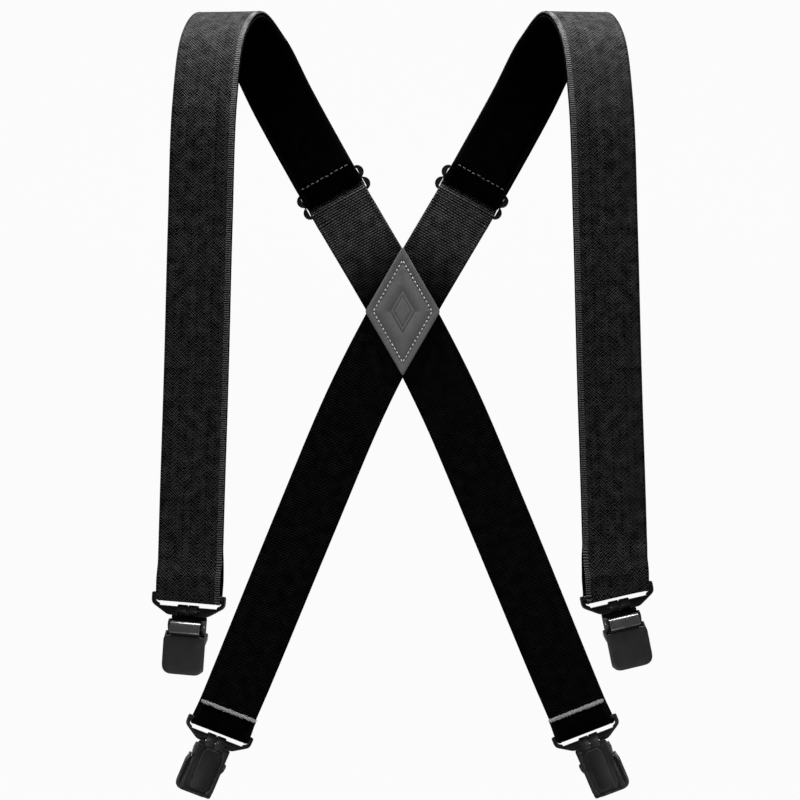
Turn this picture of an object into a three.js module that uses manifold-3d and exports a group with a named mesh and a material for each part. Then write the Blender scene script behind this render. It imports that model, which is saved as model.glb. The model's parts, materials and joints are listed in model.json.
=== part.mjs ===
// X-back clip suspenders: two doubled elastic straps, two adjuster slides, a leather crosspatch
// and four lever clips, hanging as they do from a pair of shoulders.
// Millimetres, +Z up. The origin is at the top of the shoulder line between the two straps, the
// wearer faces -Y, and the wearer's right is at -X.

import * as THREE from 'three';
import { mergeVertices } from 'three/addons/utils/BufferGeometryUtils.js';
import Module from 'manifold-3d';

const wasm = await Module();
wasm.setup();

// ---------------------------------------------------------------- driving dimensions

const webWidth = 38;
const webThickness = 1.8;
const squeezedThickness = 1.3; // where the webbing is pulled tight inside the slide
const layerPitch = 2.5; // from the middle of one layer to the middle of the next
const seam = 0.3; // gap between neighbouring pieces

const shoulderTop = 228; // height of the outer layer's middle above the level of the strap ends' middle
const shoulderRadius = 50;
const frontTangent = 172; // height where the arch turns into the hanging front strap
const frontTop = -112.4; // height of the right front ring's webbing bar
const backTop = -202.2; // height of the back rings' webbing bars
const crossing = 54; // height where the two back straps cross
const crossOffset = 1.15; // each strap's depth offset from the shared plane of the crossing
const sideYaw = 14; // degrees: the front straps and the lower back legs turn out round the body

const slideHeight = 126;
const slideLength = 45.5;
const slideHalf = 8.2; // half of the slide's size along the strap
const slideThickness = 1.4;
const slideBar = 1.6;
const slideReach = 14; // the weave's half length along the strap

const ringBarRadius = 1.5;
const ringPitch = 7.6; // from the webbing bar to the hinge bar
const ringThickness = 2.6;
const hingeRadius = 1.4;
const loopRadius = 2.75; // middle of the webbing where it turns round a ring
const frontLoopReach = 26;
const loopSeam = 1; // the skewed ends of the layers and the loop stay apart
const hemReach = 15.5;

const leatherThickness = 1.2;
const leatherWidth = 46;
const leatherHeight = 79;

const pinRadius = 0.8;
const pinHole = 1.1;
const plateHalf = 10.4;
const neckHalf = 10.6;
const coverHalf = 12.4;
const leverHalf = 9;
const padHalf = 9.4;
const leverPin = { n: 1.8, z: -9 };
const jawPin = { n: -0.5, z: -14.5 };
const coverBottom = -37;
const plateBottom = -35.6;

const origin = new THREE.Vector3(0, 0, shoulderTop - layerPitch - webThickness / 2);
const radians = THREE.MathUtils.degToRad;

// ---------------------------------------------------------------- materials

function metal(color, roughness) {
  return new THREE.MeshStandardMaterial({ color, roughness, metalness: 0.9 });
}

function cloth(color) {
  return new THREE.MeshStandardMaterial({ color, roughness: 0.95, metalness: 0 });
}

const finish = {
  webbing: () => cloth(0x111113),
  leather: () => cloth(0x6c6c6c),
  ring: () => metal(0x17171a, 0.45),
  plate: () => metal(0x141416, 0.4),
  cover: () => metal(0x1c1c1f, 0.35),
  lever: () => metal(0x222226, 0.25),
  pin: () => metal(0x3a3a3e, 0.35),
  spring: () => metal(0x77777c, 0.3),
  grip: () => cloth(0x1d1d1f),
};

// ---------------------------------------------------------------- solids

function toSolid(geometry) {
  const bare = new THREE.BufferGeometry();
  bare.setAttribute('position', geometry.getAttribute('position').clone());
  if (geometry.index) bare.setIndex(geometry.index.clone());
  const merged = mergeVertices(bare, 1e-4);
  return new wasm.Manifold(new wasm.Mesh({
    numProp: 3,
    vertProperties: new Float32Array(merged.getAttribute('position').array),
    triVerts: new Uint32Array(merged.index.array),
  }));
}

function toGeometry(solid) {
  const mesh = solid.getMesh();
  const geometry = new THREE.BufferGeometry();
  geometry.setAttribute('position', new THREE.BufferAttribute(new Float32Array(mesh.vertProperties), 3));
  geometry.setIndex(new THREE.BufferAttribute(new Uint32Array(mesh.triVerts), 1));
  geometry.computeVertexNormals();
  return geometry;
}

function join(...geometries) {
  return toGeometry(geometries.map(toSolid).reduce((whole, next) => whole.add(next)));
}

function cut(geometry, ...tools) {
  return toGeometry(tools.map(toSolid).reduce((whole, next) => whole.subtract(next), toSolid(geometry)));
}

// The clips are drawn in their own frame: u across, n outward from the wearer, z up, with the hinge
// bar's axis at n = 0, z = 0. Outward is -Y there.

function block(u0, u1, n0, n1, z0, z1) {
  const geometry = new THREE.BoxGeometry(u1 - u0, n1 - n0, z1 - z0);
  return geometry.translate((u0 + u1) / 2, -(n0 + n1) / 2, (z0 + z1) / 2);
}

function slab(shape, n0, n1, curveSegments = 4) {
  const geometry = new THREE.ExtrudeGeometry(shape, { depth: n1 - n0, bevelEnabled: false, curveSegments });
  return geometry.translate(0, 0, n0).rotateX(Math.PI / 2);
}

function rod(radius, u0, u1, at, sides = 16) {
  const geometry = new THREE.CylinderGeometry(radius, radius, u1 - u0, sides);
  return geometry.rotateZ(Math.PI / 2).translate((u0 + u1) / 2, -at.n, at.z);
}

function across(outline, u0, u1) {
  const shape = new THREE.Shape(outline.map(([n, z]) => new THREE.Vector2(n, z)));
  const geometry = new THREE.ExtrudeGeometry(shape, { depth: u1 - u0, bevelEnabled: false });
  geometry.translate(0, 0, -u1);
  const turn = new THREE.Matrix4().makeBasis(
    new THREE.Vector3(0, -1, 0),
    new THREE.Vector3(0, 0, 1),
    new THREE.Vector3(-1, 0, 0),
  );
  return geometry.applyMatrix4(turn);
}

function roundedOutline(points, radius) {
  const shape = new THREE.Shape();
  const corners = points.map(([x, y]) => new THREE.Vector2(x, y));
  corners.forEach((corner, i) => {
    const before = corners[(i + corners.length - 1) % corners.length];
    const after = corners[(i + 1) % corners.length];
    const start = corner.clone().add(before.clone().sub(corner).setLength(radius));
    const end = corner.clone().add(after.clone().sub(corner).setLength(radius));
    if (i === 0) shape.moveTo(start.x, start.y);
    else shape.lineTo(start.x, start.y);
    shape.quadraticCurveTo(corner.x, corner.y, end.x, end.y);
  });
  shape.closePath();
  return shape;
}

// ---------------------------------------------------------------- webbing

// A ribbon through stations {p, w}: p is the middle of the ribbon and w the direction across it.
// Its outer face is on the side of (direction of travel) x w.
function ribbon(stations, thickness = webThickness) {
  const last = stations.length - 1;
  const geometry = new THREE.BoxGeometry(webWidth, 1, 1, 1, 1, last);
  const position = geometry.getAttribute('position');
  for (let i = 0; i < position.count; i += 1) {
    const step = Math.round((position.getZ(i) + 0.5) * last);
    const { p, w } = stations[step];
    const travel = stations[Math.min(step + 1, last)].p.clone().sub(stations[Math.max(step - 1, 0)].p);
    const outward = travel.cross(w).normalize();
    const local = stations[step].thickness ?? thickness;
    const place = p.clone().addScaledVector(w, position.getX(i));
    place.addScaledVector(outward, position.getY(i) * local);
    position.setXYZ(i, place.x, place.y, place.z);
  }
  return geometry;
}

function mirrored(geometry) {
  const solid = geometry.index ? geometry.toNonIndexed() : geometry.clone();
  const position = solid.getAttribute('position');
  for (let i = 0; i < position.count; i += 3) {
    const corners = [0, 1, 2].map((k) => new THREE.Vector3().fromBufferAttribute(position, i + k));
    [0, 2, 1].forEach((k, slot) => position.setXYZ(i + slot, -corners[k].x, corners[k].y, corners[k].z));
  }
  solid.computeVertexNormals();
  return solid;
}

// Depth of the plane that both back straps lie in, by height.
function backDepth(z) {
  const rise = z - crossing;
  return 75 - 0.157 * rise - 0.0003 * rise * rise;
}

// The right-hand strap's route, from the back ring over the shoulder to the front ring. The wearer's
// right shoulder is at -X, and the strap ends at the wearer's left hip.
const backPoint = (x, z) => new THREE.Vector3(x, backDepth(z), z);
const frontPoint = (x, y, z) => new THREE.Vector3(x, y, z);
const backRoute = [
  backPoint(112.5, backTop),
  backPoint(100.1, -173),
  backPoint(59.4, -74),
  backPoint(27.9, 0),
  backPoint(0, crossing),
  backPoint(-42, slideHeight),
  backPoint(-72, 180),
];
const archRoute = [
  frontPoint(-88, 35, shoulderTop - 16),
  frontPoint(-101, 1, shoulderTop),
  frontPoint(-110, -35, shoulderTop - 17),
  frontPoint(-114.2, -shoulderRadius, frontTangent),
];
const frontRoute = [
  frontPoint(-116.6, -54, 100),
  frontPoint(-118.6, -57, 17),
  frontPoint(-120.8, -59, -55),
  frontPoint(-122.2, -60, frontTop + ringPitch),
  frontPoint(-122.6, -60, frontTop),
];
const route = new THREE.CatmullRomCurve3([...backRoute, ...archRoute, ...frontRoute]);
const routeSteps = backRoute.length + archRoute.length + frontRoute.length - 1;
const slideStep = 5; // the slide's place in the route
const leftFrontStep = routeSteps - 0.45; // the left front ring hangs a little higher
const archStart = 6;
const frontStart = 10;

// Direction across the strap: level along the crossing, turned out on the lower leg and the front.
function acrossAt(step, frontRoll) {
  const travel = route.getTangent(step / routeSteps);
  const lowerLeg = THREE.MathUtils.smoothstep(2.6 - step, 0, 2.2);
  const front = THREE.MathUtils.smoothstep(step, archStart, frontStart);
  const end = THREE.MathUtils.smoothstep(step, routeSteps - 3.4, routeSteps - 1.6);
  const yaw = radians(sideYaw * (lowerLeg + front));
  const w = new THREE.Vector3(Math.cos(yaw), -Math.sin(yaw), 0);
  w.addScaledVector(travel, -w.dot(travel)).normalize();
  const outward = travel.clone().cross(w);
  return w.applyAxisAngle(outward.normalize(), radians(frontRoll) * end);
}

function station(step, offset, frontRoll, depth) {
  const p = route.getPoint(step / routeSteps);
  const travel = route.getTangent(step / routeSteps);
  const w = acrossAt(step, frontRoll);
  const outward = travel.clone().cross(w).normalize();
  const back = 1 - THREE.MathUtils.smoothstep(step, archStart - 0.8, archStart + 1);
  p.addScaledVector(outward, offset);
  p.y += depth * back;
  return { p, w, outward };
}

// Route position a given distance along the strap from a step.
function stepAt(step, distance) {
  const here = route.getPoint(step / routeSteps);
  let reach = step;
  while (route.getPoint(reach / routeSteps).distanceTo(here) < Math.abs(distance)) {
    reach += 0.002 * Math.sign(distance);
  }
  return reach;
}

function stretch(from, to, count, offset, frontRoll, depth) {
  return Array.from({ length: count + 1 }, (_, i) => {
    const step = from + ((to - from) * i) / count;
    return station(step, offset, frontRoll, depth);
  });
}

// A frame whose X is across the strap, -Y outward and Z up, as the clips and slides are drawn.
function frameAt(p, w, up) {
  const frame = new THREE.Group();
  const y = up.clone().cross(w).normalize();
  const z = w.clone().cross(y).normalize();
  frame.matrix.makeBasis(w.clone().normalize(), y, z).setPosition(p);
  frame.matrix.decompose(frame.position, frame.quaternion, frame.scale);
  return frame;
}

// A ribbon drawn in a clip's or slide's frame by (n, z) points.
function localRibbon(points, thickness = webThickness) {
  const w = new THREE.Vector3(1, 0, 0);
  const controls = points.map(([n, z, local]) => ({ p: new THREE.Vector3(0, -n, z), w, thickness: local }));
  return ribbon(controls, thickness);
}

function turnRound(radius, centre, from, to, count) {
  return Array.from({ length: count + 1 }, (_, i) => {
    const angle = radians(from + ((to - from) * i) / count);
    return [centre.n + radius * Math.cos(angle), centre.z + radius * Math.sin(angle)];
  });
}

// ---------------------------------------------------------------- clip pieces

function ringGeometry() {
  const half = 21.9;
  const outline = roundedOutline([
    [-11.8, -3.6],
    [11.8, -3.6],
    [half, 2.6],
    [half, ringPitch + ringBarRadius],
    [-half, ringPitch + ringBarRadius],
    [-half, 2.6],
  ], 1.2);
  const slot = roundedOutline([
    [-17.4, 1.5], [17.4, 1.5], [17.4, 2.6], [19.7, 3.8],
    [19.7, 6.2], [-19.7, 6.2], [-19.7, 3.8], [-17.4, 2.6],
  ], 0.5);
  const t = ringThickness / 2;
  const frame = cut(
    slab(outline, -t, t),
    slab(slot, -t - 1, t + 1),
    block(-19.7, 19.7, -t - 1, t + 1, 5, 12),
    block(-6.6, 6.6, -t - 1, t + 1, -5, 2),
  );
  const webbingBar = rod(ringBarRadius, -20.6, 20.6, { n: 0, z: ringPitch });
  const hingeBar = rod(hingeRadius, -7.4, 7.4, { n: 0, z: 0 });
  return join(frame, webbingBar, hingeBar);
}

function backPlateGeometry() {
  const outline = roundedOutline([
    [-neckHalf, -3.2], [neckHalf, -3.2], [plateHalf, plateBottom], [-plateHalf, plateBottom],
  ], 1.2);
  const ear = [[-3.5, -6], [2.6, -5.5], [4, -7.5], [4, -11], [1.6, -13.5], [1.6, -17], [-3.5, -19]];
  const knuckle = rod(hingeRadius + seam + 1, -6, 6, { n: 0, z: 0 }, 20);
  const whole = join(
    slab(outline, -4, -3),
    knuckle,
    block(-6, 6, -4, -1.9, -3.6, 0),
    across(ear, plateHalf - 1, plateHalf),
    across(ear, -plateHalf, 1 - plateHalf),
    block(2.6, 6.2, -4.6, -3.5, -31, -9),
    block(-6.2, -2.6, -4.6, -3.5, -31, -9),
    block(-padHalf, padHalf, -3.8, -2, plateBottom, plateBottom + 1),
  );
  return cut(
    whole,
    rod(hingeRadius + seam, -7, 7, { n: 0, z: 0 }, 20),
    rod(pinHole, -13, 13, leverPin),
    rod(pinHole, -13, 13, jawPin),
    block(-0.5, 0.5, 0.6, 4, -4, 2),
  );
}

function coverGeometry() {
  const face = roundedOutline([
    [-coverHalf, coverBottom], [coverHalf, coverBottom], [coverHalf, -16.2], [-coverHalf, -16.2],
  ], 3.5);
  const arm = [[-2.2, -16.4], [-2.2, -12.8], [0.9, -12.4], [3.8, -16.6], [3.8, -20], [1.6, -19.4]];
  const flange = [[2.3, -18], [2.3, -33], [3.6, -33], [3.6, -18]];
  const whole = join(
    slab(face, 3.4, 4.4),
    block(-leverHalf, leverHalf, 2.3, 3.3, -17.6, -13.3),
    block(-leverHalf, leverHalf, 2.3, 3.9, -17.6, -16.6),
    across(arm, coverHalf - 1.2, coverHalf - 0.2),
    across(arm, 0.2 - coverHalf, 1.2 - coverHalf),
    across(flange, coverHalf - 1.2, coverHalf - 0.2),
    across(flange, 0.2 - coverHalf, 1.2 - coverHalf),
  );
  return cut(whole, rod(pinHole, -14, 14, jawPin));
}

function leverGeometry() {
  const flap = [[2.6, -7.2], [4, -8.2], [5.3, -14.2], [4.9, -14.8], [4.2, -14.6], [3, -10]];
  const barrel = rod(2.3, -leverHalf, leverHalf, leverPin);
  return cut(join(barrel, across(flap, -leverHalf, leverHalf)), rod(pinHole, -11, 11, leverPin));
}

function springGeometry() {
  const turns = 4;
  const perTurn = 8;
  const coil = 1.75;
  const half = 3.6;
  const points = [new THREE.Vector3(-half, coil - jawPin.n, -18.8)];
  for (let i = 0; i <= turns * perTurn + perTurn / 2; i += 1) {
    const angle = Math.PI + (i / perTurn) * 2 * Math.PI;
    const u = -half + (2 * half * i) / (turns * perTurn + perTurn / 2);
    const n = jawPin.n + coil * Math.cos(angle);
    const z = jawPin.z - coil * Math.sin(angle) * -1;
    points.push(new THREE.Vector3(u, -n, z));
  }
  points.push(new THREE.Vector3(half, -1.7, -18.8));
  const section = new THREE.Shape();
  section.absarc(0, 0, 0.3, 0, 2 * Math.PI);
  const path = new THREE.CatmullRomCurve3(points, false, 'centripetal');
  const settings = { steps: 48, bevelEnabled: false, curveSegments: 3, extrudePath: path };
  return new THREE.ExtrudeGeometry(section, settings);
}

// ---------------------------------------------------------------- slide

function slideGeometry() {
  const lobe = slideHalf / 2;
  const reach = slideLength / 2 - lobe;
  const outline = new THREE.Shape();
  outline.moveTo(-reach, -slideHalf);
  outline.lineTo(reach, -slideHalf);
  outline.absarc(reach, -lobe, lobe, -Math.PI / 2, Math.PI / 2);
  outline.absarc(reach, lobe, lobe, -Math.PI / 2, Math.PI / 2);
  outline.lineTo(-reach, slideHalf);
  outline.absarc(-reach, lobe, lobe, Math.PI / 2, (3 * Math.PI) / 2);
  outline.absarc(-reach, -lobe, lobe, Math.PI / 2, (3 * Math.PI) / 2);
  const t = slideThickness / 2;
  const opening = slideHalf - slideBar;
  const frame = cut(slab(outline, -t, t, 8), block(-19.6, 19.6, -t - 1, t + 1, -opening, opening));
  return join(frame, rod(t, -20.6, 20.6, { n: 0, z: 0 }, 12));
}

// ---------------------------------------------------------------- assembly

const part = new THREE.Group();
part.position.copy(origin).negate();

function addMesh(parent, name, geometry, material) {
  const mesh = new THREE.Mesh(geometry, material);
  mesh.name = name;
  parent.add(mesh);
}

// The frame is at the middle of the ring's webbing bar; the clip hangs below it on the hinge bar.
function addClip(parent, name, frame) {
  frame.translateZ(-ringPitch);
  parent.add(frame);
  const pieces = {
    ring: [ringGeometry(), finish.ring()],
    back_plate: [backPlateGeometry(), finish.plate()],
    front_cover: [coverGeometry(), finish.cover()],
    lever: [leverGeometry(), finish.lever()],
    lever_pin: [rod(pinRadius, -11, 11, leverPin), finish.pin()],
    jaw_pin: [rod(pinRadius, -12.7, 12.7, jawPin), finish.pin()],
    spring: [springGeometry(), finish.spring()],
    back_pad: [block(-padHalf, padHalf, -2.7, -1, -34, -20), finish.grip()],
    front_pad: [block(-padHalf, padHalf, 1.4, 3.1, -35.4, -20), finish.grip()],
  };
  for (const [piece, [geometry, material]] of Object.entries(pieces)) {
    addMesh(frame, `${name}_${piece}`, geometry, material);
  }
}

// Webbing turned round a ring's bar: points (n, rise) from the bar's axis. The legs lie along the
// strap even where the ring hangs askew.
function roundBar(bar, up, points) {
  const outward = bar.outward;
  return points.map(([n, rise]) => {
    const p = bar.p.clone().addScaledVector(outward, n).addScaledVector(up, rise);
    return { p, w: bar.w };
  });
}

// One strap with its slide and its two clips. The strap over the wearer's right shoulder is drawn,
// and the left one is its mirror image; only the depth at the crossing and the roll of the front
// ring differ.
function addSide(side, frontRoll) {
  const isLeft = side === 'left';
  const depth = isLeft ? -crossOffset : crossOffset;
  const flip = (geometry) => (isLeft ? mirrored(geometry) : geometry);
  const at = (step, offset) => station(step, offset, frontRoll, depth);
  const place = ({ p, w }, up, outwardIsBack) => {
    const mirror = isLeft ? new THREE.Vector3(-1, 1, 1) : new THREE.Vector3(1, 1, 1);
    const direction = w.clone().multiply(mirror).multiplyScalar((isLeft ? -1 : 1) * (outwardIsBack ? -1 : 1));
    return frameAt(p.clone().multiply(mirror), direction, up.clone().multiply(mirror));
  };
  const other = isLeft ? 'right' : 'left';

  const backUp = route.getTangent(0);
  const backBar = at(0, -1.3);
  const hem = roundBar(backBar, backUp, [
    [-1, hemReach - loopRadius - webThickness / 2],
    [-1.2, 8],
    [-2.5, 3],
    ...turnRound(loopRadius, { n: 0, z: 0 }, 180, 360, 8),
    [2.5, 3],
    [1.3, 11],
  ]);
  const backEnd = stepAt(slideStep, -slideReach - seam);
  const backRun = stretch(stepAt(0, 16), backEnd, 24, 0, frontRoll, depth);
  addMesh(part, `${side}_back_strap`, flip(ribbon([...hem, ...backRun])), finish.webbing());

  const slideUp = route.getTangent(slideStep / routeSteps);
  const slideAt = at(slideStep, 1.65);
  const slideFrame = place(slideAt, slideUp, true);
  part.add(slideFrame);
  const weave = [
    [-1.65, -slideReach], [-1.65, -10.8], [-1.65, -8.8, squeezedThickness], [-1.65, -6.35, squeezedThickness],
    [4, -0.6, squeezedThickness], [4, 0.6, squeezedThickness],
    [-1.65, 6.35, squeezedThickness], [-1.65, 8.8, squeezedThickness], [-1.65, 10.8], [-1.65, slideReach],
  ];
  const endLoop = [
    [-1.65 - layerPitch, slideReach], [-1.65 - layerPitch, 11],
    [-3.4, 8.6, squeezedThickness], [-3.4, 6.4, squeezedThickness],
    ...turnRound(1.65, { n: 0, z: 0 }, 180, 362, 7).map(([n, z]) => [n, z, squeezedThickness]),
  ];
  addMesh(slideFrame, `${side}_slide`, slideGeometry(), finish.ring());
  addMesh(slideFrame, `${side}_slide_weave`, localRibbon(weave), finish.webbing());
  addMesh(slideFrame, `${side}_end_loop`, localRibbon(endLoop), finish.webbing());

  const start = stepAt(slideStep, slideReach + seam);
  const frontStep = isLeft ? leftFrontStep : routeSteps;
  const end = stepAt(frontStep, -frontLoopReach - loopSeam);
  const bend = archStart - 0.5;
  const layer = (offset) => ribbon([
    ...stretch(start, bend, 4, offset, frontRoll, depth),
    ...stretch(bend, frontStart, 54, offset, frontRoll, depth).slice(1),
    ...stretch(frontStart, end, 20, offset, frontRoll, depth).slice(1),
  ]);
  addMesh(part, `${side}_outer_layer`, flip(layer(0)), finish.webbing());
  addMesh(part, `${side}_inner_layer`, flip(layer(-layerPitch)), finish.webbing());

  const frontUp = route.getTangent(frontStep / routeSteps).negate();
  const frontBar = at(frontStep, -layerPitch / 2);
  const half = layerPitch / 2;
  const loop = roundBar(frontBar, frontUp, [
    [half, frontLoopReach], [half + 0.8, 19], [3.4, 10], [3.1, 4],
    ...turnRound(loopRadius, { n: 0, z: 0 }, 0, -180, 8),
    [-3.1, 4], [-3.4, 10], [-half - 0.8, 19], [-half, frontLoopReach],
  ]);
  addMesh(part, `${side}_front_loop`, flip(ribbon(loop)), finish.webbing());
  addClip(part, `${side}_front`, place(frontBar, frontUp, false));
  addClip(part, `${other}_back`, place(backBar, backUp, true));
}

// A leather diamond lying on the crossed straps, on the wearer's side (-1) or the outside (+1).
function patchGeometry(face) {
  const clearance = crossOffset + webThickness / 2 + 0.4;
  const outline = roundedOutline([
    [0, -leatherHeight / 2], [leatherWidth / 2, 0], [0, leatherHeight / 2], [-leatherWidth / 2, 0],
  ], 2);
  const from = face > 0 ? clearance : -clearance - leatherThickness;
  const geometry = slab(outline, -from - leatherThickness, -from);
  const position = geometry.getAttribute('position');
  for (let i = 0; i < position.count; i += 1) {
    const z = position.getZ(i) + crossing;
    position.setXYZ(i, position.getX(i), position.getY(i) + backDepth(z), z);
  }
  return geometry;
}

addSide('right', -0.8);
addSide('left', -8.5);
addMesh(part, 'crosspatch_inner', patchGeometry(-1), finish.leather());
addMesh(part, 'crosspatch_outer', patchGeometry(1), finish.leather());
part.updateMatrixWorld(true);

export default part;
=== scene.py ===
import json
import math
import random
import bmesh
import bpy
from mathutils import Matrix, Vector

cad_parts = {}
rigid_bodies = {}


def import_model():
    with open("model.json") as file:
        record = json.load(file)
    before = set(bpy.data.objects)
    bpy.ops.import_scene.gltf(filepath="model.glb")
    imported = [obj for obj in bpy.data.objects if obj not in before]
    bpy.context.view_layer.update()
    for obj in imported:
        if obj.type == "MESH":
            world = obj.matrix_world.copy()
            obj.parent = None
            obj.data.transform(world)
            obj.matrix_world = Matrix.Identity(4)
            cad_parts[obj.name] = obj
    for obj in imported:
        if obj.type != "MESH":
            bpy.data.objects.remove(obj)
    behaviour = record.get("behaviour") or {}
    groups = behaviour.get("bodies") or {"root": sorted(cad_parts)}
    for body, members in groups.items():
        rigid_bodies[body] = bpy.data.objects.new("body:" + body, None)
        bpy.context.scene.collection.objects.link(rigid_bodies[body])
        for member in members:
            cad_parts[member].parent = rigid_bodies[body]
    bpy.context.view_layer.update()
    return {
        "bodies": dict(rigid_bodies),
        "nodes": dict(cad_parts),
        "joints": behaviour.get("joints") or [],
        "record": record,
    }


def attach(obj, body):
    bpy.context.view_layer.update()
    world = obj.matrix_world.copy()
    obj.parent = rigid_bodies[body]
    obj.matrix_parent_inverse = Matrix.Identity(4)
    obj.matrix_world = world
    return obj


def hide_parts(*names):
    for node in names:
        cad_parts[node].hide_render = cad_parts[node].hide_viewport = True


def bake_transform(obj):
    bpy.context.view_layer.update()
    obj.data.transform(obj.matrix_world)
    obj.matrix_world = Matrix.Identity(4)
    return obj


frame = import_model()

mm = 0.001
joints = {joint["name"]: joint for joint in frame["joints"]}
print("frame loaded")

# camera, lights and stage

view = {"distance": 2.0, "height": -0.2246, "lens": 152.7, "sensor": 36.0, "side": -0.0016}


def makeCamera():
    data = bpy.data.cameras.new("camera")
    data.lens = view["lens"]
    data.sensor_width = view["sensor"]
    data.clip_end = 30
    camera = bpy.data.objects.new("camera", data)
    camera.location = (view["side"], -view["distance"], view["height"])
    camera.rotation_euler = (math.radians(90), 0, 0)
    bpy.context.scene.collection.objects.link(camera)
    bpy.context.scene.camera = camera


def makeLight(name, size, energy, location, target, spread=180):
    data = bpy.data.lights.new(name, "AREA")
    data.shape = "RECTANGLE"
    data.size, data.size_y = size
    data.energy = energy
    data.spread = math.radians(spread)
    light = bpy.data.objects.new(name, data)
    light.location = location
    aim = Vector(target) - Vector(location)
    light.rotation_euler = aim.to_track_quat("-Z", "Y").to_euler()
    bpy.context.scene.collection.objects.link(light)


def newMaterial(name, rough, specular=0.5, **values):
    material = bpy.data.materials.new(name)
    material.use_nodes = True
    shader = material.node_tree.nodes["Principled BSDF"]
    shader.inputs["Roughness"].default_value = rough
    shader.inputs["Specular IOR Level"].default_value = specular
    for socket, value in values.items():
        shader.inputs[socket.replace("_", " ")].default_value = value
    return material, material.node_tree, shader


def makeStage():
    stage = {"floor": -0.8, "wall": 3.6, "bend": 0.9, "half": 6.0, "front": -1.6}
    bm = bmesh.new()
    steps = 12
    profile = [(stage["front"], stage["floor"]), (stage["wall"] - stage["bend"], stage["floor"])]
    for i in range(1, steps + 1):
        angle = math.pi / 2 * i / steps
        y = stage["wall"] - stage["bend"] + stage["bend"] * math.sin(angle)
        z = stage["floor"] + stage["bend"] * (1 - math.cos(angle))
        profile.append((y, z))
    profile.append((stage["wall"], 6.0))
    verts = [bm.verts.new((-stage["half"], y, z)) for y, z in profile]
    edges = [bm.edges.new(pair) for pair in zip(verts, verts[1:])]
    made = bmesh.ops.extrude_edge_only(bm, edges=edges)["geom"]
    moved = [item for item in made if isinstance(item, bmesh.types.BMVert)]
    bmesh.ops.translate(bm, verts=moved, vec=(2 * stage["half"], 0, 0))
    bmesh.ops.recalc_face_normals(bm, faces=bm.faces)
    mesh = bpy.data.meshes.new("backdrop")
    bm.to_mesh(mesh)
    bm.free()
    for face in mesh.polygons:
        face.use_smooth = True
    backdrop = bpy.data.objects.new("backdrop", mesh)
    bpy.context.scene.collection.objects.link(backdrop)
    paper = newMaterial("palePaper", 1.0, 0.0, Base_Color=(0.06, 0.06, 0.06, 1), Emission_Color=(1, 1, 1, 1),
                        Emission_Strength=0.93)[0]
    mesh.materials.append(paper)


makeCamera()
makeStage()
makeLight("overhead", (0.7, 0.22), 40, (0, -0.07, 0.36), (0, -0.02, 0.0))
makeLight("frontTop", (1.0, 0.2), 0.25, (0, -0.5, 0.35), (0, -0.05, -0.04), 34)
makeLight("lowFront", (1.0, 0.2), 1.2, (0, -0.6, -0.7), (0, -0.05, -0.4), 50)


def makeWorld():
    world = bpy.data.worlds.new("studio")
    world.use_nodes = True
    tree = world.node_tree
    background = tree.nodes["Background"]
    background.inputs["Color"].default_value = (1, 1, 1, 1)
    seen = tree.nodes.new("ShaderNodeLightPath")
    strength = tree.nodes.new("ShaderNodeMapRange")
    strength.inputs["To Min"].default_value = 0.3
    strength.inputs["To Max"].default_value = 0.965
    tree.links.new(seen.outputs["Is Camera Ray"], strength.inputs["Value"])
    tree.links.new(strength.outputs["Result"], background.inputs["Strength"])
    bpy.context.scene.world = world


makeWorld()
bpy.context.scene.view_settings.view_transform = "Standard"
print("stage and camera made")

# shader helpers


def nodeGroup(name, inputs, outputs):
    group = bpy.data.node_groups.new(name, "ShaderNodeTree")
    for socket, kind, value in inputs:
        made = group.interface.new_socket(name=socket, in_out="INPUT", socket_type=kind)
        if value is not None:
            made.default_value = value
    for socket, kind in outputs:
        group.interface.new_socket(name=socket, in_out="OUTPUT", socket_type=kind)
    start = group.nodes.new("NodeGroupInput")
    end = group.nodes.new("NodeGroupOutput")
    return group, start, end


def maths(tree, operation, *values, clamp=False):
    node = tree.nodes.new("ShaderNodeMath")
    node.operation = operation
    node.use_clamp = clamp
    for socket, value in zip(node.inputs, values):
        if isinstance(value, (int, float)):
            socket.default_value = value
        else:
            tree.links.new(value, socket)
    return node.outputs[0]


def centred(tree, value, gain):
    return maths(tree, "MULTIPLY", maths(tree, "SUBTRACT", value, 0.5), gain)


def noise(tree, vector, scale, detail=3.0, roughness=0.55):
    node = tree.nodes.new("ShaderNodeTexNoise")
    node.inputs["Scale"].default_value = scale
    node.inputs["Detail"].default_value = detail
    node.inputs["Roughness"].default_value = roughness
    tree.links.new(vector, node.inputs["Vector"])
    return node.outputs["Fac"]


def grey(value, blue=1.0):
    return (value, value, value * blue)


def ramp(tree, value, stops):
    node = tree.nodes.new("ShaderNodeValToRGB")
    elements = node.color_ramp.elements
    while len(elements) < len(stops):
        elements.new(0.5)
    for element, (place, color) in zip(elements, stops):
        element.position = place
        element.color = (*color, 1)
    tree.links.new(value, node.inputs[0])
    return node.outputs["Color"]


def placeGroup(tree, group, **values):
    node = tree.nodes.new("ShaderNodeGroup")
    node.node_tree = group
    for name, value in values.items():
        if isinstance(value, (int, float)):
            node.inputs[name].default_value = value
        else:
            tree.links.new(value, node.inputs[name])
    return node


def objectPlace(tree):
    return tree.nodes.new("ShaderNodeTexCoord").outputs["Object"]


def ribbonPlace(tree):
    uv = tree.nodes.new("ShaderNodeUVMap")
    uv.uv_map = "ribbon"
    split = tree.nodes.new("ShaderNodeSeparateXYZ")
    tree.links.new(uv.outputs["UV"], split.inputs[0])
    return uv.outputs["UV"], split.outputs[1]


def paint(tree, shader, color, rough=None):
    tree.links.new(color, shader.inputs["Base Color"])
    if rough:
        tree.links.new(rough, shader.inputs["Roughness"])


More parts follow.
